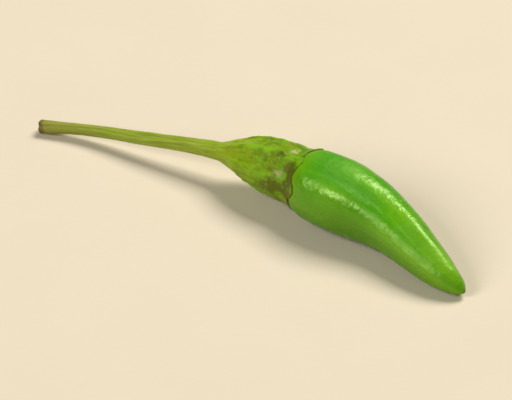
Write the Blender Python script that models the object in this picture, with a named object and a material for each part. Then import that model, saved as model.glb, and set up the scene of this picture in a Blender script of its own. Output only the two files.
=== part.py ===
"""A small green chilli pepper as picked, lying on a flat surface: pod, calyx and stalk.

Metres, +Z up. The origin is on the ground under the middle of the part's box, and +X runs along the
pepper from the stalk's cut end to the pod's tip. The pod rests on a small flat spot under its belly.
"""
from math import radians

import bmesh
import bpy
import numpy as np

MM = 0.001
GAP = 0.3  # between neighbouring pieces

# Every length below is in millimetres.
# The middle line of the whole pepper, from the stalk's cut end to the pod's tip, seen from CUT_END.
CUT_END = (-36.24, -4.91, 0.0)
MIDDLE_LINE = [
    (0.0, 0.0, 1.02), (7.4, 2.4, 1.85), (15.5, 3.7, 3.0), (24.0, 4.9, 4.2), (32.0, 5.6, 4.95),
    (38.5, 5.75, 5.25), (44.0, 5.6, 5.2), (49.5, 5.5, 4.95), (54.5, 5.2, 4.5), (59.5, 4.0, 3.95),
    (64.5, 2.25, 3.2), (69.0, 0.95, 2.2), (73.0, 0.4, 1.05),
]

# Places along the middle line, as distances from the cut end.
STALK_LENGTH = 28.3
CALYX_START = STALK_LENGTH + GAP
CALYX_RIM = 42.8
POD_START = 40.3
POD_END = 74.7

# Radii, each as (distance along the line, radius).
STALK_RADII = [(0.0, 0.98), (1.2, 0.95), (4.0, 0.84), (12.0, 0.88), (20.0, 1.0), (25.0, 1.14), (28.3, 1.35)]
CALYX_RADII = [
    (28.6, 1.38), (30.5, 1.95), (33.0, 2.86), (35.5, 3.58), (38.0, 4.0), (41.0, 4.25), (42.5, 4.45),
    (43.5, 5.05), (44.7, 5.6), (45.4, 5.75),
]
POD_RADII = [
    (40.3, 2.6), (42.4, 3.5), (43.7, 4.5), (45.8, 5.2), (49.0, 5.42), (53.5, 5.0), (57.5, 4.35),
    (61.5, 3.75), (65.5, 3.2), (69.5, 2.5), (72.5, 1.6), (74.7, 0.7),
]
POD_BASE_ROUNDING = 1.2
POD_TIP_ROUNDING = 1.3

# The section's relief: shallow lobes on the pod, ribs and teeth on the calyx, ridges on the stalk.
# Angles go round the middle line from the side at -Y, upwards.
LOBES = [(5, radians(41), 0.017), (3, radians(100), 0.012), (2, radians(20), 0.014)]  # count, angle, share
LOBES_START = 41.3
LOBES_RISE, LOBES_FALL = 4.0, 8.0  # lengths over which the lobes grow from there and fade to the tip
FOLDS = [  # soft dents and ridges down the pod's flanks: angle, distance, half angle, half length, height
    (radians(41), 52, 0.26, 7, 0.10), (radians(22), 65, 0.22, 8, 0.14), (radians(64), 60, 0.24, 9, -0.20),
    (radians(95), 66, 0.24, 8, 0.14), (radians(5), 54, 0.30, 7, -0.12), (radians(150), 57, 0.26, 10, -0.16),
    (radians(182), 60, 0.20, 11, 0.14), (radians(305), 60, 0.24, 9, 0.10), (radians(66), 51, 0.22, 4, -0.10),
]
RIB_ANGLES = [radians(126), radians(70), radians(15), radians(298), radians(207)]
RIB_HEIGHT = 0.3
RIB_HALF_ANGLE = radians(13)
RIB_SINK = 0.35  # how far the skin between ribs lies below the envelope, as a share of a rib's height
TOOTH_LENGTHS = [1.3, 0.6, 0.9, 0.5, 0.9]
TOOTH_HALF_ANGLE = radians(16)
RIM_TILT = 0.35  # how much further the rim reaches on the side at -Y
RIDGE_COUNT = 5
RIDGE_SHARE = 0.05

TANGENT_STEP = 0.05  # how far apart two points of the middle line show its direction

# Mesh sizes.
POD_SEGMENTS, POD_ROWS = 56, 60
CALYX_SEGMENTS, CALYX_OUTER_ROWS, CALYX_INNER_ROWS = 60, 18, 8
STALK_SEGMENTS, STALK_STEPS = 20, 30

MATERIALS = {  # base colour, roughness
    "pod": ((0.10, 0.36, 0.012), 0.28),
    "calyx": ((0.20, 0.30, 0.015), 0.5),
    "stalk": ((0.28, 0.37, 0.07), 0.5),
}


def spline(points, at):
    """The natural cubic curve through (station, values...) points, at the given stations."""
    points = np.asarray(points, float)
    stations, values = points[:, 0], points[:, 1:]
    step = np.diff(stations)
    system, right = np.eye(len(points)), np.zeros_like(values)
    for i in range(1, len(points) - 1):
        system[i, i - 1:i + 2] = step[i - 1], 2 * (step[i - 1] + step[i]), step[i]
        right[i] = 6 * ((values[i + 1] - values[i]) / step[i] - (values[i] - values[i - 1]) / step[i - 1])
    bend = np.linalg.solve(system, right)
    i = np.clip(np.searchsorted(stations, at, side="right") - 1, 0, len(step) - 1)
    h, before, after = (a[:, None] for a in (step[i], stations[i + 1] - at, at - stations[i]))
    curved = (bend[i] * before**3 + bend[i + 1] * after**3) / (6 * h)
    first, last = values[i] / h - bend[i] * h / 6, values[i + 1] / h - bend[i + 1] * h / 6
    return curved + first * before + last * after


def middle_line(at):
    """Points of the middle line at distances along it."""
    points = np.asarray(MIDDLE_LINE) + CUT_END
    lengths = np.linalg.norm(np.diff(points, axis=0), axis=1)
    stations = np.concatenate([[0.0], np.cumsum(lengths)])
    return spline(np.column_stack([stations, points]), at)


def around(at, radius, angle):
    """Points round the middle line. Angle 0 is the side at -Y and a quarter turn is the top."""
    centre = middle_line(at)
    along = middle_line(at + TANGENT_STEP) - middle_line(at - TANGENT_STEP)
    along /= np.linalg.norm(along, axis=1)[:, None]
    side = np.cross(along, (0, 0, 1))
    side /= np.linalg.norm(side, axis=1)[:, None]
    up = np.cross(side, along)
    return centre + radius[:, None] * (np.cos(angle)[:, None] * side + np.sin(angle)[:, None] * up)


def turned(angle, towards):
    """How far each angle is from another, either way round."""
    return (angle - towards + np.pi) % (2 * np.pi) - np.pi


def rounding(distance, length):
    """Closes a profile with a quarter of an ellipse over the given length from its end."""
    left = 1 - np.clip(distance / length, 0, 1)
    return np.sqrt(1 - left**2)


def pod_radius(at, angle, grown=0.0):
    """The pod's radius, or that of the pod grown all round by a gap."""
    along = np.clip(at, POD_START, POD_END)
    envelope = spline(POD_RADII, along)[:, 0]
    lobes = sum(share * np.cos(count * (angle - start)) for count, start, share in LOBES)
    folds = sum(
        height * np.exp(-(turned(angle, towards) / half_angle) ** 2 - ((at - centre) / half_length) ** 2)
        for towards, centre, half_angle, half_length, height in FOLDS)
    fade = np.clip((POD_END - along) / LOBES_FALL, 0, 1) * np.clip((along - LOBES_START) / LOBES_RISE, 0, 1)
    ends = rounding(at - POD_START + grown, POD_BASE_ROUNDING + grown)
    ends = ends * rounding(POD_END + grown - at, POD_TIP_ROUNDING + grown)
    return (envelope * (1 + lobes * fade) + folds + grown) * ends


def at_ribs(angle, half_angle):
    """A smooth peak of 1 at each rib, with a column for each."""
    return np.exp(-(turned(angle[:, None], RIB_ANGLES) / half_angle) ** 2)


def calyx_rim(angle):
    """How far along the calyx reaches: a slightly tilted rim with a blunt tooth at each rib."""
    teeth = at_ribs(angle, TOOTH_HALF_ANGLE) @ TOOTH_LENGTHS
    return CALYX_RIM + RIM_TILT * np.cos(angle) + teeth


def calyx_radius(at, angle):
    """The calyx's outer radius, with a rib to each tooth that fades towards the stalk."""
    share = np.clip((at - CALYX_START) / (CALYX_RIM - CALYX_START), 0, 1)
    rib = RIB_HEIGHT * np.sin(np.pi * share) ** 2 * (at_ribs(angle, RIB_HALF_ANGLE).sum(axis=1) - RIB_SINK)
    return spline(CALYX_RADII, at)[:, 0] + rib


def skin(name, segments, rows, place):
    """A closed piece: a sphere's rows and columns moved to where place(row, angle) puts them."""
    bm = bmesh.new()
    bmesh.ops.create_uvsphere(bm, u_segments=segments, v_segments=rows, radius=1)
    unit = np.array([v.co for v in bm.verts])
    row = np.round(np.arccos(np.clip(unit[:, 2], -1, 1)) / np.pi * rows)
    points = place(row, np.arctan2(unit[:, 1], unit[:, 0])) * MM
    points[:, 2] = np.maximum(points[:, 2], 0)  # flattened where it rests on the ground
    for vertex, point in zip(bm.verts, points):
        vertex.co = point
    mesh = bpy.data.meshes.new(name)
    bm.to_mesh(mesh)
    bm.free()
    mesh.shade_smooth()
    return bpy.data.objects.new(name, mesh)


def pod():
    def place(row, angle):
        at = POD_START + (POD_END - POD_START) * (1 - np.cos(np.pi * row / POD_ROWS)) / 2
        return around(at, pod_radius(at, angle), angle)

    return skin("pod", POD_SEGMENTS, POD_ROWS, place)


def calyx():
    def place(row, angle):
        """Up the outside from the stalk to the toothed rim, and back down inside round the pod."""
        rim = calyx_rim(angle)
        out = np.clip((row - 1) / (CALYX_OUTER_ROWS - 1), 0, 1)
        outside = CALYX_START + (rim - CALYX_START) * out
        back = np.clip((row - CALYX_OUTER_ROWS - 1) / (CALYX_INNER_ROWS - 1), 0, 1)
        cup_floor = POD_START - GAP
        inside = cup_floor + (rim - cup_floor) * (1 - np.sin(np.pi / 2 * back))
        outward = row <= CALYX_OUTER_ROWS
        at = np.where(outward, outside, inside)
        radius = np.where(outward, calyx_radius(at, angle), pod_radius(at, angle, GAP))
        return around(at, radius * (row > 0), angle)

    return skin("calyx", CALYX_SEGMENTS, CALYX_OUTER_ROWS + CALYX_INNER_ROWS, place)


def closed_polyline(name, points):
    curve = bpy.data.curves.new(name, "CURVE")
    curve.dimensions = "2D"
    line = curve.splines.new("POLY")
    line.points.add(len(points) - 1)
    for point, (x, y) in zip(line.points, points):
        point.co = (x, y, 0, 1)
    line.use_cyclic_u = True
    return bpy.data.objects.new(name, curve)


def stalk(guides):
    """A curve along the middle line whose section is a circle with faint ridges."""
    angle = -2 * np.pi * np.arange(STALK_SEGMENTS) / STALK_SEGMENTS
    reach = (1 + RIDGE_SHARE * np.cos(RIDGE_COUNT * angle)) * MM
    ring = np.column_stack([reach * np.cos(angle), reach * np.sin(angle)])
    section = closed_polyline("stalk_section", ring)
    section.hide_render = True
    section.display_type = "WIRE"
    guides.objects.link(section)

    curve = bpy.data.curves.new("stalk", "CURVE")
    curve.dimensions = "3D"
    curve.bevel_mode = "OBJECT"
    curve.bevel_object = section
    curve.use_fill_caps = True
    at = np.linspace(0, STALK_LENGTH, STALK_STEPS + 1)
    line = curve.splines.new("POLY")
    line.points.add(STALK_STEPS)
    for point, place, radius in zip(line.points, middle_line(at) * MM, spline(STALK_RADII, at)[:, 0]):
        point.co = (*place, 1)
        point.radius = radius
    line.use_smooth = True
    return bpy.data.objects.new("stalk", curve)


def material(name, colour, roughness):
    made = bpy.data.materials.new(name)
    made.use_nodes = True
    shader = made.node_tree.nodes["Principled BSDF"]
    shader.inputs["Base Color"].default_value = (*colour, 1)
    shader.inputs["Roughness"].default_value = roughness
    shader.inputs["Metallic"].default_value = 0
    return made


def main():
    for old in list(bpy.data.objects):
        bpy.data.objects.remove(old, do_unlink=True)
    pepper = bpy.data.collections.new("chilli_pepper")
    guides = bpy.data.collections.new("guides")
    for collection in (pepper, guides):
        bpy.context.scene.collection.children.link(collection)
    for piece in (pod(), calyx(), stalk(guides)):
        piece.data.materials.append(material(piece.name, *MATERIALS[piece.name]))
        pepper.objects.link(piece)


main()
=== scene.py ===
from math import radians

import bpy
import numpy as np
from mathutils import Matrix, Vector


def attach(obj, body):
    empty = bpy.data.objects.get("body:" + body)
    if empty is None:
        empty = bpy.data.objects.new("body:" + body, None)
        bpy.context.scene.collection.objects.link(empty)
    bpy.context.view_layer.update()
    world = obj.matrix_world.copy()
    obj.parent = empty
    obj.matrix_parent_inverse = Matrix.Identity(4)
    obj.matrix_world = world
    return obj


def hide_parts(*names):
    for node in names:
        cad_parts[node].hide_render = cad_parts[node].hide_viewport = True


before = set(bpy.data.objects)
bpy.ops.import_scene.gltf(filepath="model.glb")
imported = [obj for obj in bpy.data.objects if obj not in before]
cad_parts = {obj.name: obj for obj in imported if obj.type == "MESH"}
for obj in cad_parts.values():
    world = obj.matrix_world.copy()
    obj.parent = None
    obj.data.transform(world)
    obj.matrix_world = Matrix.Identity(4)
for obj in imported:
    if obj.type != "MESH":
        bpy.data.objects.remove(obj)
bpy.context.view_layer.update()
mm = 0.001

# The pepper lies along +X. Lengths in the dictionaries are millimetres, and a distance along the pepper
# is measured on its middle line from the stalk's cut end. Angles go round that line: 0 is the side at
# -Y and a quarter turn is the top.
pepper = {
    "cutEnd": (-36.24, -4.91, 0.0),
    "middleLine": [
        (0.0, 0.0, 1.02), (7.4, 2.4, 1.85), (15.5, 3.7, 3.0), (24.0, 4.9, 4.2), (32.0, 5.6, 4.95),
        (38.5, 5.75, 5.25), (44.0, 5.6, 5.2), (49.5, 5.5, 4.95), (54.5, 5.2, 4.5), (59.5, 4.0, 3.95),
        (64.5, 2.25, 3.2), (69.0, 0.95, 2.2), (73.0, 0.4, 1.05),
    ],
}


def spline(points, at):
    # natural cubic curve through (station, values...) points
    points = np.asarray(points, float)
    stations, values = points[:, 0], points[:, 1:]
    step = np.diff(stations)
    system, right = np.eye(len(points)), np.zeros_like(values)
    for i in range(1, len(points) - 1):
        system[i, i - 1:i + 2] = step[i - 1], 2 * (step[i - 1] + step[i]), step[i]
        right[i] = 6 * ((values[i + 1] - values[i]) / step[i] - (values[i] - values[i - 1]) / step[i - 1])
    bend = np.linalg.solve(system, right)
    i = np.clip(np.searchsorted(stations, at, side="right") - 1, 0, len(step) - 1)
    h, before, after = (a[:, None] for a in (step[i], stations[i + 1] - at, at - stations[i]))
    curved = (bend[i] * before**3 + bend[i + 1] * after**3) / (6 * h)
    fromBefore = (values[i] / h - bend[i] * h / 6) * before
    fromAfter = (values[i + 1] / h - bend[i + 1] * h / 6) * after
    return curved + fromBefore + fromAfter


def middleLine(at):
    points = np.asarray(pepper["middleLine"]) + pepper["cutEnd"]
    lengths = np.linalg.norm(np.diff(points, axis=0), axis=1)
    stations = np.concatenate([[0.0], np.cumsum(lengths)])
    return spline(np.column_stack([stations, points]), at)


def around(at, radius, angle):
    # points that far out from the middle line
    nearby = 0.05  # to each side, for the line's direction
    centre = middleLine(at)
    along = middleLine(at + nearby) - middleLine(at - nearby)
    along /= np.linalg.norm(along, axis=1)[:, None]
    side = np.cross(along, (0, 0, 1))
    side /= np.linalg.norm(side, axis=1)[:, None]
    up = np.cross(side, along)
    return centre + radius[:, None] * (np.cos(angle)[:, None] * side + np.sin(angle)[:, None] * up)


def smooth(value, low, high):
    t = np.clip((value - low) / (high - low), 0, 1)
    return t * t * (3 - 2 * t)


def bell(offset, width):
    return np.exp(-(offset / width) ** 2)


def turned(angle, towards):
    # how far each angle is from another, either way round
    return (angle - towards + np.pi) % (2 * np.pi) - np.pi


def rounding(distance, length):
    # a quarter circle from 0 up to 1
    left = 1 - np.clip(distance / length, 0, 1)
    return np.sqrt(1 - left**2)


def marks(at, angle, places):
    # soft marks on the skin, each (angle, distance, half angle, half length, strength)
    return sum(strength * bell(turned(angle, towards), halfAngle) * bell(at - centre, halfLength)
               for towards, centre, halfAngle, halfLength, strength in places)


def skin(name, segments, rows, place):
    # rings of points between two poles, put where place(row, angle) says
    row = np.concatenate([[0], np.repeat(np.arange(1, rows), segments), [rows]])
    turn = 2 * np.pi * np.arange(segments) / segments
    angle = np.concatenate([[0], np.tile(turn, rows - 1), [0]])
    at, radius, notes = place(row, angle)
    points = around(at, radius, angle)
    points[:, 2] = np.maximum(points[:, 2], 0)  # flattened where it rests
    here = 1 + np.arange((rows - 1) * segments).reshape(rows - 1, segments)
    beside = np.roll(here, -1, axis=1)
    sides = np.stack([here[:-1], here[1:], beside[1:], beside[:-1]], axis=-1).reshape(-1, 4)
    pole = np.zeros(segments, int)
    firstEnd = np.column_stack([pole, here[0], beside[0]])
    lastEnd = np.column_stack([here[-1], pole + len(row) - 1, beside[-1]])
    mesh = bpy.data.meshes.new(name)
    mesh.from_pydata((points * mm).tolist(), [], firstEnd.tolist() + sides.tolist() + lastEnd.tolist())
    straight = np.column_stack([np.cos(angle), np.sin(angle), at])
    column = mesh.attributes.new("straight", "FLOAT_VECTOR", "POINT")
    column.data.foreach_set("vector", straight.ravel())
    for label, values in notes.items():
        column = mesh.attributes.new(label, "FLOAT", "POINT")
        column.data.foreach_set("value", values + np.zeros(len(at)))
    mesh.shade_smooth()
    return inScene(name, mesh)


def inScene(name, data):
    made = bpy.data.objects.new(name, data)
    bpy.context.scene.collection.objects.link(made)
    return made


# Node building

def plug(tree, socket, value):
    if isinstance(value, bpy.types.NodeSocket):
        tree.links.new(value, socket)
    elif socket.type == "RGBA":
        socket.default_value = (*value, 1)
    else:
        socket.default_value = value


def add(tree, kind, sockets=None, **settings):
    made = tree.nodes.new(kind)
    for name, value in settings.items():
        setattr(made, name, value)
    for name, value in (sockets or {}).items():
        plug(tree, made.inputs[name], value)
    return made


def calc(tree, operation, *values, clamp=False):
    made = add(tree, "ShaderNodeMath", operation=operation, use_clamp=clamp)
    for socket, value in zip(made.inputs, values):
        plug(tree, socket, value)
    return made.outputs[0]


def stretched(tree, place, factors):
    return add(tree, "ShaderNodeVectorMath", {0: place, 1: factors}, operation="MULTIPLY").outputs[0]


def scaled(tree, place, factor):
    return add(tree, "ShaderNodeVectorMath", {0: place, "Scale": factor}, operation="SCALE").outputs[0]


def ramp(tree, value, low, high, first=0.0, last=1.0):
    return add(tree, "ShaderNodeMapRange", {
        "Value": value, "From Min": low, "From Max": high, "To Min": first, "To Max": last}).outputs[0]


def geometryTree(name, sizes):
    # sizes gives the label and socket kind of each input after the geometry
    tree = bpy.data.node_groups.new(name, "GeometryNodeTree")
    for label, kind in {"Geometry": "Geometry", **sizes, "Material": "Material"}.items():
        tree.interface.new_socket(label, in_out="INPUT", socket_type="NodeSocket" + kind)
    tree.interface.new_socket("Geometry", in_out="OUTPUT", socket_type="NodeSocketGeometry")
    return tree, tree.nodes.new("NodeGroupInput").outputs


def closeTree(tree, geometry, material):
    smoothed = add(tree, "GeometryNodeSetShadeSmooth", {"Geometry": geometry}).outputs[0]
    real = add(tree, "GeometryNodeRealizeInstances", {"Geometry": smoothed}).outputs[0]
    dressed = add(tree, "GeometryNodeSetMaterial", {"Geometry": real, "Material": material}).outputs[0]
    add(tree, "NodeGroupOutput", {"Geometry": dressed})


def attributeField(tree, label, kind="FLOAT"):
    return add(tree, "GeometryNodeInputNamedAttribute", {"Name": label}, data_type=kind).outputs[0]


def store(tree, geometry, label, value, kind="FLOAT", selection=True):
    return add(tree, "GeometryNodeStoreNamedAttribute", {
        "Geometry": geometry, "Selection": selection, "Name": label, "Value": value},
        data_type=kind, domain="POINT").outputs[0]


def noiseField(tree, place, size, seed, detail=2.0):
    # about -0.5 to 0.5, with lumps of the given size in millimetres
    noise = add(tree, "ShaderNodeTexNoise", {
        "Vector": place, "W": seed, "Scale": calc(tree, "DIVIDE", 1.0, size), "Detail": detail},
        noise_dimensions="4D").outputs[0]
    return calc(tree, "SUBTRACT", noise, 0.5)


def pushOut(tree, geometry, height):
    # moves a surface along its normals, but never below the ground
    lowest = (-1, -1, 0)  # on the ground, far outside the pepper
    normal = tree.nodes.new("GeometryNodeInputNormal").outputs[0]
    place = tree.nodes.new("GeometryNodeInputPosition").outputs[0]
    pushed = scaled(tree, normal, height)
    moved = add(tree, "ShaderNodeVectorMath", {0: place, 1: pushed}, operation="ADD").outputs[0]
    above = add(tree, "ShaderNodeVectorMath", {0: moved, 1: lowest}, operation="MAXIMUM").outputs[0]
    return add(tree, "GeometryNodeSetPosition", {"Geometry": geometry, "Position": above}).outputs[0]


def grow(source, tree, name, sizes):
    # runs a tree on an object and keeps the result as a plain mesh
    modifier = source.modifiers.new(tree.name, "NODES")
    modifier.node_group = tree
    for item in tree.interface.items_tree:
        if item.in_out == "INPUT" and item.name in sizes:
            modifier[item.identifier] = sizes[item.name]
    graph = bpy.context.evaluated_depsgraph_get()
    mesh = bpy.data.meshes.new_from_object(source.evaluated_get(graph))
    mesh.name = name
    source.modifiers.remove(modifier)
    bpy.data.objects.remove(source)
    return inScene(name, mesh)


def reliefTree():
    # lumps, cross wrinkles, pits and scattered corky flecks, raised from a skin's own surface
    tree, given = geometryTree("skinRelief", {
        "Lump Height": "Float", "Lump Size": "Float", "Wrinkle Height": "Float", "Wrinkle Size": "Float",
        "Pit Depth": "Float", "Pit Size": "Float", "Fleck Height": "Float", "Fleck Size": "Float",
        "Fleck Spacing": "Float", "Fleck Density": "Float", "Seed": "Int"})
    wrinkleStretch = (1.5, 1.5, 1.0)  # closer together round the pepper than along it
    pitMiddle, pitEdge = 0.05, 0.42  # in pit sizes
    fleckMiddle, fleckEdge = 0.3, 1.0  # in fleck sizes
    notchSize = 0.45  # of a fleck's ragged edge
    place = scaled(tree, tree.nodes.new("GeometryNodeInputPosition").outputs[0], 1 / mm)
    across = stretched(tree, attributeField(tree, "straight", "FLOAT_VECTOR"), wrinkleStretch)
    relief = attributeField(tree, "relief")
    wrinkled = calc(tree, "MULTIPLY", relief, attributeField(tree, "wrinkled"))

    lumps = noiseField(tree, place, given["Lump Size"], given["Seed"])
    lumps = calc(tree, "MULTIPLY", lumps, given["Lump Height"])
    wrinkles = noiseField(tree, across, given["Wrinkle Size"], given["Seed"], detail=3.0)
    wrinkles = calc(tree, "MULTIPLY", wrinkles, given["Wrinkle Height"])
    cells = add(tree, "ShaderNodeTexVoronoi", {
        "Vector": place, "Scale": calc(tree, "DIVIDE", 1.0, given["Pit Size"])}).outputs["Distance"]
    pits = calc(tree, "MULTIPLY", ramp(tree, cells, pitMiddle, pitEdge, -1, 0), given["Pit Depth"])

    seeds = add(tree, "GeometryNodeDistributePointsOnFaces", distribute_method="POISSON")
    for label, value in (("Mesh", given["Geometry"]), ("Distance Min", given["Fleck Spacing"]),
                         ("Density Max", given["Fleck Density"]),
                         ("Density Factor", attributeField(tree, "corky")), ("Seed", given["Seed"])):
        plug(tree, seeds.inputs[label], value)
    nearest = add(tree, "GeometryNodeProximity", {"Geometry": seeds.outputs[0]}, target_element="POINTS")
    ragged = calc(tree, "ADD", 1.0, noiseField(tree, place, notchSize, given["Seed"]))
    size = calc(tree, "MULTIPLY", given["Fleck Size"], ragged)
    reach = calc(tree, "DIVIDE", nearest.outputs["Distance"], size)
    fleck = add(tree, "ShaderNodeMapRange", {
        "Value": reach, "From Min": fleckEdge, "From Max": fleckMiddle},
        interpolation_type="SMOOTHSTEP").outputs[0]
    fleck = calc(tree, "MULTIPLY", fleck, nearest.outputs["Is Valid"])  # none where nothing is corky

    flecked = store(tree, given["Geometry"], "fleck", fleck)
    height = calc(tree, "MULTIPLY", lumps, relief)
    height = calc(tree, "MULTIPLY_ADD", calc(tree, "ADD", wrinkles, pits), wrinkled, height)
    height = calc(tree, "MULTIPLY_ADD", attributeField(tree, "fleck"), given["Fleck Height"], height)
    closeTree(tree, pushOut(tree, flecked, height), given["Material"])
    return tree


skinRelief = reliefTree()


# Finishes

def newMaterial(name):
    material = bpy.data.materials.new(name)
    material.use_nodes = True
    tree = material.node_tree
    return material, tree, tree.nodes["Principled BSDF"]


def noted(tree, label):
    return add(tree, "ShaderNodeAttribute", attribute_name=label).outputs["Fac"]


def noise(tree, place, scale, detail=2.0, roughness=0.5):
    return add(tree, "ShaderNodeTexNoise", {
        "Vector": place, "Scale": scale, "Detail": detail, "Roughness": roughness}).outputs[0]


def blend(tree, factor, first, second):
    made = add(tree, "ShaderNodeMix", data_type="RGBA")
    for socket, value in zip((made.inputs[0], made.inputs[6], made.inputs[7]), (factor, first, second)):
        plug(tree, socket, value)
    return made.outputs[2]


def setShader(tree, shader, values):
    for label, value in values.items():
        plug(tree, shader.inputs[label], value)


def bumps(tree, shader, layers):
    # layers are (height, distance in metres)
    normal = None
    for height, distance in layers:
        sockets = {"Height": height, "Distance": distance, "Strength": 1.0}
        if normal:
            sockets["Normal"] = normal
        normal = add(tree, "ShaderNodeBump", sockets).outputs[0]
    tree.links.new(normal, shader.inputs["Normal"])


podFinish = {
    "deepGreen": (0.042, 0.300, 0.0010),
    "leafGreen": (0.105, 0.400, 0.0015),
    "yellowGreen": (0.190, 0.370, 0.0020),
    # painted shade: the darker green laid on the underside and low flank
    "paintedUnderShadeGreen": (0.058, 0.155, 0.0004),
    # painted shade in the valley between the shoulder and the top ridge
    "paintedValleyShadeGreen": (0.036, 0.255, 0.0003),
    # the skin's own pale streaks, and also the colour of the painted highlights and painted reflection
    "paleStreakAndPaintedHighlight": (0.24, 0.52, 0.02),
    "paleDot": (0.36, 0.58, 0.08),
    "scarBrown": (0.10, 0.055, 0.012),
    "streakStrength": 0.2,
    "mottleStrength": 0.35,
    "dotStrength": 0.4,
    "roughness": (0.18, 0.37),
    "dullness": 0.22,
    # A pattern's scale is per metre, or has three values: two round the pepper and one along it, per mm
    "cloudScale": 140,
    "streakScale": (5, 5, 0.12),
    "mottleScale": 1100,
    "dotScale": 1300,
    "dottedScale": 300,
    "glossScale": 330,
    "waves": (560, 0.00017),  # scale, and height in metres
    "furrows": ((8, 8, 1.6), 0.00006),
    "grain": (2100, 0.00004),
    "shader": {
        "Specular Tint": (0.74, 1.0, 0.36), "Specular IOR Level": 0.7, "IOR": 1.50,
        "Subsurface Weight": 0.08, "Subsurface Radius": (0.5, 1.0, 0.15), "Subsurface Scale": 0.0012,
    },
}


def podSkin():
    tint = podFinish
    material, tree, shader = newMaterial("podSkin")
    place = add(tree, "ShaderNodeTexCoord").outputs["Object"]
    straight = add(tree, "ShaderNodeAttribute", attribute_name="straight").outputs["Vector"]
    cloudy = ramp(tree, noise(tree, place, tint["cloudScale"], 3), 0.35, 0.65)
    colour = blend(tree, cloudy, tint["deepGreen"], tint["leafGreen"])
    # over the yellow tone go painted shade underneath and in the valley, and painted highlights along the
    # ridges
    for label, tone in (("yellow", "yellowGreen"), ("paintedUnderShade", "paintedUnderShadeGreen"), ("paintedValleyShade", "paintedValleyShadeGreen"),
                        ("paintedHighlight", "paleStreakAndPaintedHighlight")):
        colour = blend(tree, noted(tree, label), colour, tint[tone])
    streaks = noise(tree, stretched(tree, straight, tint["streakScale"]), 1.0, 3)
    streaky = ramp(tree, streaks, 0.50, 0.75, 0, tint["streakStrength"])
    colour = blend(tree, streaky, colour, tint["paleStreakAndPaintedHighlight"])
    mottle = noise(tree, place, tint["mottleScale"], 3, 0.6)
    mottled = ramp(tree, mottle, 0.45, 0.75, 0, tint["mottleStrength"])
    colour = blend(tree, mottled, colour, tint["deepGreen"])
    cells = add(tree, "ShaderNodeTexVoronoi", {
        "Vector": place, "Scale": tint["dotScale"]}).outputs["Distance"]
    dotted = ramp(tree, noise(tree, place, tint["dottedScale"]), 0.45, 0.7)
    dots = calc(tree, "MULTIPLY", ramp(tree, cells, 0.16, 0.05), dotted)
    colour = blend(tree, calc(tree, "MULTIPLY", dots, tint["dotStrength"]), colour, tint["paleDot"])
    colour = blend(tree, noted(tree, "scar"), colour, tint["scarBrown"])
    tree.links.new(colour, shader.inputs["Base Color"])
    roughness = ramp(tree, noise(tree, place, tint["glossScale"], 3), 0.35, 0.65, *tint["roughness"])
    roughness = calc(tree, "MULTIPLY_ADD", noted(tree, "dull"), tint["dullness"], roughness)
    tree.links.new(roughness, shader.inputs["Roughness"])
    setShader(tree, shader, tint["shader"])
    waves, furrows, grain = tint["waves"], tint["furrows"], tint["grain"]
    bumps(tree, shader, [
        (noise(tree, place, waves[0], 2), waves[1]),
        (noise(tree, stretched(tree, straight, furrows[0]), 1.0, 3), furrows[1]),
        (noise(tree, place, grain[0], 3), grain[1]),
    ])
    return material


tissueFinish = {
    "stalkGreen": (0.30, 0.385, 0.030),
    "stalkPale": (0.40, 0.47, 0.07),
    "stalkShade": (0.20, 0.27, 0.015),
    "stalkDry": (0.27, 0.225, 0.045),
    "calyxYellow": (0.31, 0.44, 0.001),
    "calyxGreen": (0.13, 0.30, 0.001),
    "calyxOlive": (0.21, 0.29, 0.001),
    "calyxDark": (0.070, 0.120, 0.002),
    "ribPale": (0.19, 0.45, 0.010),
    # dark stains, partly real and partly painted shade near the rim
    "stainAndPaintedShade": (0.080, 0.082, 0.002),
    "cork": (0.42, 0.43, 0.16),
    "dryBrown": (0.11, 0.075, 0.010),
    "cutBrown": (0.15, 0.095, 0.03),
    "pith": (0.50, 0.44, 0.22),
    # Where each change along the pepper starts and ends
    "dryStretch": (11, 1.5),
    "yellowStretch": (39, 32),
    "stalkToCalyx": (24, 34),
    "dryStrength": 0.65,
    "yellowStrength": 0.75,
    "crestStrength": 0.6,
    "fleckStrength": 0.4,
    "raggedness": 1.3,
    "roughness": (0.38, 0.56),
    # Scales are as the pod's are
    "fibreScale": (6, 6, 0.25),
    "veinScale": (9, 9, 0.35),
    "patchScale": 330,
    "shadeScale": 480,
    "shadeStretch": (1.0, 1.3, 1.3),
    "grainScale": 1050,
    "raggedScale": 1000,
    "pimpleScale": 4200,
    "fibreBump": 0.00009,  # in metres, as the next three
    "veinBump": 0.00008,
    "grainBump": 0.00005,
    "pimpleBump": 0.000012,
    "shader": {
        "Specular Tint": (0.90, 1.0, 0.42), "IOR": 1.42,
        "Subsurface Weight": 0.08, "Subsurface Radius": (0.6, 1.0, 0.2), "Subsurface Scale": 0.0006,
    },
}


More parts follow.
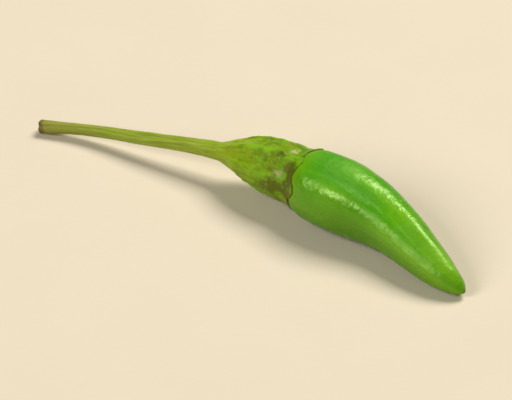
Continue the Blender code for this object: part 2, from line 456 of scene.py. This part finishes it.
def greenTissue():
    # the calyx grows out of the stalk, so one finish covers both and changes along them
    tint = tissueFinish
    material, tree, shader = newMaterial("greenTissue")
    place = add(tree, "ShaderNodeTexCoord").outputs["Object"]
    straight = add(tree, "ShaderNodeAttribute", attribute_name="straight").outputs["Vector"]
    distance = add(tree, "ShaderNodeSeparateXYZ", {0: straight}).outputs["Z"]
    fibres = noise(tree, stretched(tree, straight, tint["fibreScale"]), 1.0, 4)
    veins = noise(tree, stretched(tree, straight, tint["veinScale"]), 1.0, 4, 0.6)
    patches = noise(tree, place, tint["patchScale"], 4, 0.6)
    shades = noise(tree, stretched(tree, place, tint["shadeStretch"]), tint["shadeScale"])
    grain = noise(tree, place, tint["grainScale"], 4, 0.6)

    dry = ramp(tree, distance, *tint["dryStretch"], 0, tint["dryStrength"])
    stalkColour = blend(tree, ramp(tree, fibres, 0.35, 0.6), tint["stalkShade"], tint["stalkGreen"])
    stalkColour = blend(tree, ramp(tree, fibres, 0.5, 0.7, 0, 0.9), stalkColour, tint["stalkPale"])
    stalkColour = blend(tree, dry, stalkColour, tint["stalkDry"])
    yellow = ramp(tree, distance, *tint["yellowStretch"], 0, tint["yellowStrength"])
    crest = calc(tree, "MULTIPLY", noted(tree, "crest"), tint["crestStrength"])
    calyxColour = blend(tree, ramp(tree, patches, 0.4, 0.6), tint["calyxGreen"], tint["calyxOlive"])
    for amount, tone in ((yellow, "calyxYellow"), (crest, "ribPale"),
                         (ramp(tree, veins, 0.52, 0.66, 0, 0.4), "ribPale"),
                         (ramp(tree, veins, 0.46, 0.34, 0, 0.45), "calyxDark"),
                         (ramp(tree, shades, 0.52, 0.68, 0, 0.55), "calyxDark"),
                         (ramp(tree, grain, 0.52, 0.72, 0, 0.4), "calyxDark")):
        calyxColour = blend(tree, amount, calyxColour, tint[tone])
    colour = blend(tree, ramp(tree, distance, *tint["stalkToCalyx"]), stalkColour, calyxColour)

    # marks with ragged edges
    uneven = calc(tree, "SUBTRACT", noise(tree, place, tint["raggedScale"], 3), 0.5)
    uneven = calc(tree, "MULTIPLY", uneven, tint["raggedness"])
    # the stains are partly painted shade by the rim
    for label, tone, strength in (("stainAndPaintedShade", "stainAndPaintedShade", 0.85), ("corkPatch", "cork", 0.8),
                                  ("edge", "dryBrown", 0.7), ("cut", "cutBrown", 0.95)):
        amount = ramp(tree, calc(tree, "ADD", noted(tree, label), uneven), 0.4, 0.8, 0, strength)
        present = ramp(tree, noted(tree, label), 0, 0.1)
        colour = blend(tree, calc(tree, "MULTIPLY", amount, present), colour, tint[tone])
    flecked = calc(tree, "MULTIPLY", noted(tree, "fleck"), tint["fleckStrength"])
    colour = blend(tree, flecked, colour, tint["cork"])
    colour = blend(tree, noted(tree, "pith"), colour, tint["pith"])
    tree.links.new(colour, shader.inputs["Base Color"])
    tree.links.new(ramp(tree, patches, 0.3, 0.7, *tint["roughness"]), shader.inputs["Roughness"])
    setShader(tree, shader, tint["shader"])
    pimples = noise(tree, place, tint["pimpleScale"])
    bumps(tree, shader, [(fibres, tint["fibreBump"]), (veins, tint["veinBump"]), (grain, tint["grainBump"]),
                         (pimples, tint["pimpleBump"])])
    return material


podMaterial = podSkin()
tissueMaterial = greenTissue()
print("finishes ready")


# Pod

pod = {
    "start": 40.3,
    "end": 74.7,
    "radii": [
        (40.3, 2.9), (42.4, 3.95), (43.7, 4.75), (45.8, 5.24), (49.0, 5.42), (53.5, 5.0), (57.5, 4.35),
        (61.5, 3.75), (65.5, 3.2), (69.5, 2.5), (72.5, 1.6), (74.7, 0.7),
    ],
    "baseRounding": 1.2,
    "tipRounding": 1.3,
    "lobes": [(5, radians(41), 0.017), (3, radians(100), 0.012), (2, radians(20), 0.014)],
    "lobesRise": (41, 4),  # where they start, and over what length
    "lobesFade": 8,  # over this length before the tip
    # Marks are (angle, distance, half angle, half length, strength). A fold's strength is its height.
    "folds": [
        (radians(41), 52, 0.26, 7, 0.10), (radians(22), 65, 0.22, 8, 0.14),
        (radians(64), 60, 0.24, 9, -0.20), (radians(95), 66, 0.24, 8, 0.14),
        (radians(5), 54, 0.30, 7, -0.12), (radians(150), 57, 0.26, 10, -0.16),
        (radians(182), 60, 0.20, 11, 0.14), (radians(305), 60, 0.24, 9, 0.10),
        (radians(66), 51, 0.22, 4, -0.10),
    ],
    "dullPlaces": [
        (radians(32), 67, 0.55, 8.5, 1.0), (radians(95), 45, 0.7, 6, 1.0),
        (radians(75), 50.5, 0.34, 2.8, 0.9), (radians(240), 58, 0.9, 12, 0.6),
        (radians(61), 52.5, 0.20, 3.5, 1.2), (radians(100), 69, 0.4, 4, 0.45),
    ],
    # painted highlights along the top edge, shoulder and tip, and a painted reflection on the lower ridge
    "paintedHighlightPlaces": [
        (radians(26), 64, 0.24, 7, 0.4), (radians(200), 56, 0.3, 9, 0.4), (radians(86), 59, 0.26, 7, 0.5),
        (radians(102), 70.3, 0.50, 3.0, 0.75), (radians(40), 50, 0.18, 3.5, 0.5),
    ],
    # painted shade in the valley and creases
    "paintedValleyShadePlaces": [
        (radians(74), 47.5, 0.36, 3.0, 0.6), (radians(62), 52.5, 0.20, 3.5, 0.9),
        (radians(54), 59, 0.13, 4.0, 0.4), (radians(30), 72, 0.30, 1.8, 0.4),
        (radians(225), 52, 0.50, 9.0, 0.5),
    ],
    # painted shade on the low flank, added to the underside's
    "paintedFlankShadePlaces": [(radians(0), 56, 0.42, 6.5, 0.45)],
    "mostDull": 1.8,
    # where painted shade darkens the underside
    "paintedUnderShadeSide": (radians(-62), 1.3),  # angle and half angle
    "paintedUnderShadeStrength": 0.8,
    "yellowAll": 0.10,
    "yellowSide": (radians(-20), 0.8, 0.35),  # angle, half angle, strength
    "yellowTip": (56, 72, 0.40),  # start, end, strength
    "yellowShoulder": (43.5, 1.6, 0.5),  # distance, half length, strength
    "wrinkledAll": 0.25,
    "wrinkledShoulder": (47.5, 4.5, 0.75),
    "wrinkledTip": (71, 3, 0.4),
    "scar": (0.14, 0.03),  # before the tip's end
    "crowding": 0.85,  # how much closer the rows are at both ends
    "segments": 220,
    "rows": 400,
    "relief": {
        "Lump Height": 0.26 * mm, "Lump Size": 5.0, "Wrinkle Height": 0.10 * mm, "Wrinkle Size": 1.1,
        "Pit Depth": 0.014 * mm, "Pit Size": 0.9, "Seed": 3,
    },
}


def podRadius(at, angle, grown=0.0):
    along = np.clip(at, pod["start"], pod["end"])
    envelope = spline(pod["radii"], along)[:, 0]
    lobes = sum(share * np.cos(count * (angle - start)) for count, start, share in pod["lobes"])
    riseStart, riseLength = pod["lobesRise"]
    fade = np.clip((pod["end"] - along) / pod["lobesFade"], 0, 1)
    fade = fade * np.clip((along - riseStart) / riseLength, 0, 1)
    ends = rounding(at - pod["start"] + grown, pod["baseRounding"] + grown)
    ends = ends * rounding(pod["end"] + grown - at, pod["tipRounding"] + grown)
    return (envelope * (1 + lobes * fade) + marks(at, angle, pod["folds"]) + grown) * ends


def band(at, centre, halfLength, strength):
    # a soft band right round the skin
    return strength * bell(at - centre, halfLength)


def yellowness(at, angle):
    side, halfAngle, strength = pod["yellowSide"]
    tipStart, tipEnd, tipStrength = pod["yellowTip"]
    yellow = pod["yellowAll"] + strength * bell(turned(angle, side), halfAngle)
    yellow = yellow + tipStrength * smooth(at, tipStart, tipEnd)
    return yellow + band(at, *pod["yellowShoulder"])


def makePod():
    start, end = pod["start"], pod["end"]
    paintedUnderShadeSide, paintedUnderShadeHalfAngle = pod["paintedUnderShadeSide"]
    scarStart, scarFull = pod["scar"]

    def place(row, angle):
        share = row / pod["rows"]
        eased = share - pod["crowding"] * np.sin(2 * np.pi * share) / (2 * np.pi)
        at = start + (end - start) * eased
        # painted shade, darkest underneath and fading towards the tip
        paintedUnderShade = bell(turned(angle, paintedUnderShadeSide), paintedUnderShadeHalfAngle) * (1 - 0.5 * smooth(at, 66, 74))
        paintedUnderShade += marks(at, angle, pod["paintedFlankShadePlaces"])
        ends = smooth(at, start, 42) * (1 - smooth(at, end - 0.8, end))
        wrinkled = pod["wrinkledAll"] + band(at, *pod["wrinkledShoulder"]) + band(at, *pod["wrinkledTip"])
        return at, podRadius(at, angle), {
            "yellow": np.clip(yellowness(at, angle), 0, 1),
            "paintedUnderShade": np.clip(pod["paintedUnderShadeStrength"] * paintedUnderShade, 0, 1),
            "dull": np.clip(marks(at, angle, pod["dullPlaces"]), 0, pod["mostDull"]),
            "paintedHighlight": marks(at, angle, pod["paintedHighlightPlaces"]),
            "paintedValleyShade": np.clip(marks(at, angle, pod["paintedValleyShadePlaces"]), 0, 1),
            "scar": smooth(at, end - scarStart, end - scarFull),
            "relief": 1, "corky": 0, "wrinkled": ends * wrinkled}

    form = skin("podForm", pod["segments"], pod["rows"], place)
    return grow(form, skinRelief, "podFlesh", {**pod["relief"], "Material": podMaterial})


podPiece = makePod()
print("pod grown:", len(podPiece.data.vertices), "points")


# Calyx

calyx = {
    "start": 27.4,
    "rim": 42.8,
    "rimTilt": 0.35,  # how much further the rim reaches on the side at -Y
    "radii": [
        (27.4, 1.06), (28.3, 1.27), (29.2, 1.50), (30.5, 1.95), (33.0, 2.86), (35.5, 3.58), (38.0, 4.0),
        (41.0, 4.25), (42.5, 4.42), (43.5, 5.0), (44.7, 5.6), (45.6, 5.75),
    ],
    "ribAngles": [radians(126), radians(70), radians(15), radians(298), radians(207)],
    "ribHeight": 0.38,
    "ribHalfAngle": radians(11),
    "crestHalfAngle": radians(9),
    "fineRibs": (17, 0.05),  # how many, and their height
    "toothLengths": [1.3, 0.6, 0.9, 0.5, 0.9],
    "toothHalfAngle": radians(16),
    "raggedRim": [(7, 1, 0.08), (17, 0, 0.05), (31, 2, 0.04)],  # waves round the rim, phase, height
    "rimThickness": 0.24,
    "rimGap": 0.02,
    "claspLength": 1.8,
    "lipLength": 0.14,
    # Marks are as the pod's are
    # stains, partly painted shade along the rim where it meets the pod
    "stainsAndPaintedShade": [
        (radians(-12), 38.2, 0.30, 1.8, 0.8), (radians(6), 40.6, 0.28, 1.9, 1.0),
        (radians(-4), 42.9, 0.36, 1.0, 1.0), (radians(50), 42.2, 0.30, 1.2, 1.0),
        (radians(70), 39.9, 0.20, 1.2, 0.8), (radians(83), 43.3, 0.10, 0.6, 1.0),
        (radians(160), 41.8, 0.25, 1.4, 0.8), (radians(250), 41.5, 0.3, 1.6, 0.9),
        (radians(30), 43.2, 0.24, 1.0, 0.9),
    ],
    "corkPatches": [
        (radians(33), 40.9, 0.18, 1.0, 1.0), (radians(88), 41.4, 0.12, 0.8, 0.8),
        (radians(94), 43.7, 0.20, 0.7, 0.9), (radians(215), 39.0, 0.18, 0.9, 0.8),
    ],
    "brownEdge": (radians(5), 1.0),  # angle and half angle where the rim is brownest
    "edgeStrength": (0.38, 0.42),  # all round, and what the brownest side adds
    "segments": 300,
    "outerRows": 200,
    "lipRows": 10,
    "innerRows": 40,
    "relief": {
        "Lump Height": 0.62 * mm, "Lump Size": 2.3, "Wrinkle Height": 0.27 * mm, "Wrinkle Size": 1.3,
        "Pit Depth": 0.04 * mm, "Pit Size": 0.55, "Fleck Height": 0.05 * mm, "Fleck Size": 0.22 * mm,
        "Fleck Spacing": 0.9 * mm, "Fleck Density": 450000.0, "Seed": 7,
    },
}


def atRibs(angle, halfAngle):
    # a peak of 1 at each rib, with a column for each
    return bell(turned(angle[:, None], np.asarray(calyx["ribAngles"])), halfAngle)


def calyxRim(angle):
    ragged = sum(height * np.sin(count * angle + phase) for count, phase, height in calyx["raggedRim"])
    teeth = atRibs(angle, calyx["toothHalfAngle"]) @ calyx["toothLengths"]
    return calyx["rim"] + calyx["rimTilt"] * np.cos(angle) + teeth + ragged


def calyxRadius(at, angle):
    share = np.clip((at - calyx["start"]) / (calyx["rim"] - calyx["start"]), 0, 1)
    swell = np.sin(np.pi * share) ** 1.6  # the ribs are highest halfway along
    ribs = atRibs(angle, calyx["ribHalfAngle"]).sum(axis=1) * 1.3 - 0.4  # from -0.4 between two to 0.9
    count, height = calyx["fineRibs"]
    fine = height * np.cos(count * angle + 0.7 * np.sin(at))
    return spline(calyx["radii"], at)[:, 0] + (calyx["ribHeight"] * ribs + fine) * swell


def makeCalyx():
    def place(row, angle):
        # up the outside to the rim, over the lip, and back down inside against the pod
        rim = calyxRim(angle)
        out = np.clip((row - 1) / (calyx["outerRows"] - 1), 0, 1)
        outside = calyx["start"] + (rim - calyx["start"]) * out
        clasp = smooth(outside, rim - calyx["claspLength"], rim)
        hugging = podRadius(outside, angle, calyx["rimGap"]) + calyx["rimThickness"]
        outer = calyxRadius(outside, angle) * (1 - clasp) + hugging * clasp
        turn = np.clip((row - calyx["outerRows"]) / calyx["lipRows"], 0, 1) * np.pi
        lip = rim + calyx["lipLength"] * np.sin(turn)
        lipRadius = podRadius(rim, angle, calyx["rimGap"]) + calyx["rimThickness"] * (1 + np.cos(turn)) / 2
        back = np.clip((row - calyx["outerRows"] - calyx["lipRows"]) / (calyx["innerRows"] - 1), 0, 1)
        cupFloor = pod["start"] - calyx["rimGap"]
        inside = cupFloor + (rim - cupFloor) * (1 - np.sin(np.pi / 2 * back))
        onOutside, onLip = row <= calyx["outerRows"], row <= calyx["outerRows"] + calyx["lipRows"]
        at = np.select([onOutside, onLip], [outside, lip], inside)
        innerRadius = podRadius(inside, angle, calyx["rimGap"])
        radius = np.select([onOutside, onLip], [outer, lipRadius], innerRadius)
        crest = atRibs(angle, calyx["crestHalfAngle"]).max(axis=1)
        brownest, halfAngle = calyx["brownEdge"]
        allRound, added = calyx["edgeStrength"]
        edge = allRound + added * bell(turned(angle, brownest), halfAngle)
        return at, radius * (row > 0), {
            "relief": smooth(at, 28, 32) * onOutside * (1 - 0.8 * clasp), "wrinkled": 1,
            "corky": smooth(at, 33, 37) * onOutside * (1 - clasp), "crest": crest * smooth(at, 30, 36),
            "stainAndPaintedShade": marks(at, angle, calyx["stainsAndPaintedShade"]), "corkPatch": marks(at, angle, calyx["corkPatches"]),
            "edge": smooth(at, rim - 0.9 - 0.4 * crest, rim + 0.1) * edge}

    rows = calyx["outerRows"] + calyx["lipRows"] + calyx["innerRows"]
    form = skin("calyxForm", calyx["segments"], rows, place)
    return grow(form, skinRelief, "calyxCup", {**calyx["relief"], "Material": tissueMaterial})


calyxPiece = makeCalyx()
print("calyx grown:", len(calyxPiece.data.vertices), "points")


# Stalk

stalk = {
    "radii": [
        (0.0, 0.98), (1.2, 0.95), (4.0, 0.84), (12.0, 0.88), (20.0, 1.0), (25.0, 1.14), (28.3, 1.33),
        (31.0, 1.40),
    ],
    "length": 31.0,
    "points": 280,
    "crowding": 0.35,  # how much closer the points are at the cut end
    "cutShare": 0.62,  # the cut face's share of the full radius
    "cutRounding": 0.2,
    "growth": {
        "Around": 120, "Ridges": 5, "Ridge Height": 0.06 * mm, "Turns": 0.12, "Lump Height": 0.14 * mm,
        "Lump Size": 2.2, "Fibre Height": 0.035 * mm, "Hollow Depth": 0.16 * mm, "Fade Start": 27.2,
        "Seed": 5,
    },
}


def stemTree():
    # a tube along a path, with ridges that wind slowly round it and hollowed ends
    tree, given = geometryTree("stemGrowth", {
        "Around": "Int", "Ridges": "Int", "Ridge Height": "Float", "Turns": "Float", "Lump Height": "Float",
        "Lump Size": "Float", "Fibre Height": "Float", "Hollow Depth": "Float", "Fade Start": "Float",
        "Seed": "Int"})
    fibreStretch = (6, 6, 0.3)  # close together round the stalk and long along it
    fadeLength = 1.5  # the ridges sink away over this, inside the calyx
    cutLength = 1.6  # that the dry brown of the cut end reaches up
    hollowShare, pithShare = 0.72, 0.7  # of the cut face, and of the hollow's floor
    lengths = tree.nodes.new("GeometryNodeSplineParameter").outputs
    upright = add(tree, "GeometryNodeSetCurveNormal", {"Curve": given["Geometry"]}, mode="Z_UP").outputs[0]
    path = store(tree, upright, "run", lengths["Length"])
    ring = add(tree, "GeometryNodeCurvePrimitiveCircle", {
        "Resolution": given["Around"], "Radius": 1.0}).outputs[0]
    profile = store(tree, ring, "turn", lengths["Factor"])
    radius = tree.nodes.new("GeometryNodeInputRadius").outputs[0]
    tube = add(tree, "GeometryNodeCurveToMesh", {
        "Curve": path, "Profile Curve": profile, "Scale": radius, "Fill Caps": True}).outputs[0]

    along = calc(tree, "DIVIDE", attributeField(tree, "run"), mm)
    angle = calc(tree, "MULTIPLY", attributeField(tree, "turn"), 2 * np.pi)
    place = add(tree, "ShaderNodeCombineXYZ", {
        "X": calc(tree, "COSINE", angle), "Y": calc(tree, "SINE", angle), "Z": along}).outputs[0]
    ridges = calc(tree, "MULTIPLY", angle, given["Ridges"])
    wound = calc(tree, "MULTIPLY_ADD", along, given["Turns"], ridges)
    height = calc(tree, "MULTIPLY", calc(tree, "COSINE", wound), given["Ridge Height"])
    lumps = noiseField(tree, place, given["Lump Size"], given["Seed"])
    height = calc(tree, "MULTIPLY_ADD", lumps, given["Lump Height"], height)
    fibres = noiseField(tree, stretched(tree, place, fibreStretch), 1.0, given["Seed"], detail=3.0)
    height = calc(tree, "MULTIPLY_ADD", fibres, given["Fibre Height"], height)
    past = calc(tree, "DIVIDE", calc(tree, "SUBTRACT", along, given["Fade Start"]), fadeLength)
    height = calc(tree, "MULTIPLY", height, calc(tree, "SUBTRACT", 1.0, past, clamp=True))
    shaped = store(tree, tube, "straight", place, "FLOAT_VECTOR")
    shaped = store(tree, shaped, "cut", ramp(tree, along, cutLength, 0.0))
    shaped = pushOut(tree, shaped, height)

    corners = tree.nodes.new("GeometryNodeInputMeshFaceNeighbors").outputs["Vertex Count"]
    # the two caps are the only faces with more than four corners
    isCap = add(tree, "FunctionNodeCompare", {"A": corners, "B": 4.5}, operation="GREATER_THAN").outputs[0]
    inset = add(tree, "GeometryNodeExtrudeMesh", {"Mesh": shaped, "Selection": isCap, "Offset Scale": 0.0})
    narrowed = add(tree, "GeometryNodeScaleElements", {
        "Geometry": inset.outputs["Mesh"], "Selection": inset.outputs["Top"],
        "Scale": hollowShare}).outputs[0]
    inwards = calc(tree, "MULTIPLY", given["Hollow Depth"], -1.0)
    sunk = add(tree, "GeometryNodeExtrudeMesh", {
        "Mesh": narrowed, "Selection": inset.outputs["Top"], "Offset Scale": inwards})
    middle = add(tree, "GeometryNodeScaleElements", {
        "Geometry": sunk.outputs["Mesh"], "Selection": sunk.outputs["Top"], "Scale": pithShare}).outputs[0]
    ended = store(tree, middle, "pith", 1.0, selection=sunk.outputs["Top"])
    closeTree(tree, ended, given["Material"])
    return tree


def makeStalk():
    share = np.linspace(0, 1, stalk["points"])
    at = stalk["length"] * (stalk["crowding"] * share**2 + (1 - stalk["crowding"]) * share)
    rounded = stalk["cutShare"] + (1 - stalk["cutShare"]) * rounding(at, stalk["cutRounding"])
    radius = spline(stalk["radii"], at)[:, 0] * rounded
    path = bpy.data.curves.new("stalkPath", "CURVE")
    path.dimensions = "3D"
    line = path.splines.new("POLY")
    line.points.add(len(at) - 1)
    for point, place, size in zip(line.points, middleLine(at) * mm, radius * mm):
        point.co = (*place, 1)
        point.radius = size
    source = inScene("stalkPath", path)
    return grow(source, stemTree(), "stalkStem", {**stalk["growth"], "Material": tissueMaterial})


stalkPiece = makeStalk()
for piece in (calyxPiece, stalkPiece):  # a crisp rim and a crisp cut
    piece.data.set_sharp_from_angle(angle=radians(75))
print("stalk grown:", len(stalkPiece.data.vertices), "points")


# Camera, floor and light

view = {
    "azimuth": 34,
    "elevation": 36,
    "distance": 1.83,
    "frameWidth": 0.0730,  # what the picture's width covers at the pepper, in metres
    "aim": (0.0000, -0.0030, 0.0015),
}

studio = {
    "floorColour": (0.72, 0.63, 0.48),
    "floorShade": (0.67, 0.575, 0.43),
    "floorPatches": (60, 0.25),  # scale and strength
    "floorSize": 4,
    "floorRoughness": 0.75,
    "world": 0.10,
    "worldColour": (1.0, 0.97, 0.90),
    "lamps": [  # right, away, up, size, watts, colour
        (0.42, 0.42, 0.92, 0.55, 12.0, (1.0, 0.97, 0.92)),
        (-0.70, -0.50, 0.64, 0.52, 7.0, (1.0, 1.0, 0.98)),
    ],
}


def seenFrom(right, away, up):
    # a direction as the camera has it, turned into the frame's axes
    turn = radians(view["azimuth"])
    x = right * np.cos(turn) - away * np.sin(turn)
    y = right * np.sin(turn) + away * np.cos(turn)
    return Vector((x, y, up))


def aimAt(thing, place, target):
    thing.location = place
    thing.rotation_euler = (target - place).to_track_quat("-Z", "Y").to_euler()


def makeCamera():
    data = bpy.data.cameras.new("camera")
    data.lens = data.sensor_width * view["distance"] / view["frameWidth"]
    data.clip_start, data.clip_end = 0.05, 20
    camera = inScene("camera", data)
    tilt = radians(view["elevation"])
    aim = Vector(view["aim"])
    aimAt(camera, aim + view["distance"] * seenFrom(0, -np.cos(tilt), np.sin(tilt)), aim)
    bpy.context.scene.camera = camera


def makeFloor():
    bpy.ops.mesh.primitive_plane_add(size=studio["floorSize"])
    floor = bpy.context.object
    floor.name = "floor"
    material, tree, shader = newMaterial("floor")
    place = add(tree, "ShaderNodeTexCoord").outputs["Object"]
    scale, strength = studio["floorPatches"]
    patchy = ramp(tree, noise(tree, place, scale, 4), 0.3, 0.7, 0, strength)
    colour = blend(tree, patchy, studio["floorColour"], studio["floorShade"])
    tree.links.new(colour, shader.inputs["Base Color"])
    shader.inputs["Roughness"].default_value = studio["floorRoughness"]
    floor.data.materials.append(material)


def makeLight():
    for i, (right, away, up, size, watts, colour) in enumerate(studio["lamps"]):
        data = bpy.data.lights.new(f"lamp{i}", "AREA")
        data.size, data.energy, data.color = size, watts, colour
        aimAt(inScene(f"lamp{i}", data), seenFrom(right, away, up), Vector((0, 0, 0)))
    world = bpy.data.worlds.new("world")
    world.use_nodes = True
    background = world.node_tree.nodes["Background"]
    background.inputs["Color"].default_value = (*studio["worldColour"], 1)
    background.inputs["Strength"].default_value = studio["world"]
    bpy.context.scene.world = world
    bpy.context.scene.view_settings.view_transform = "Standard"


makeCamera()
makeFloor()
makeLight()

for piece, node, slot in ((podPiece, "pod", "pod_skin"), (calyxPiece, "calyx", "calyx_tissue"),
                          (stalkPiece, "stalk", "stalk_tissue")):
    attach(piece, "root")
    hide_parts(node)
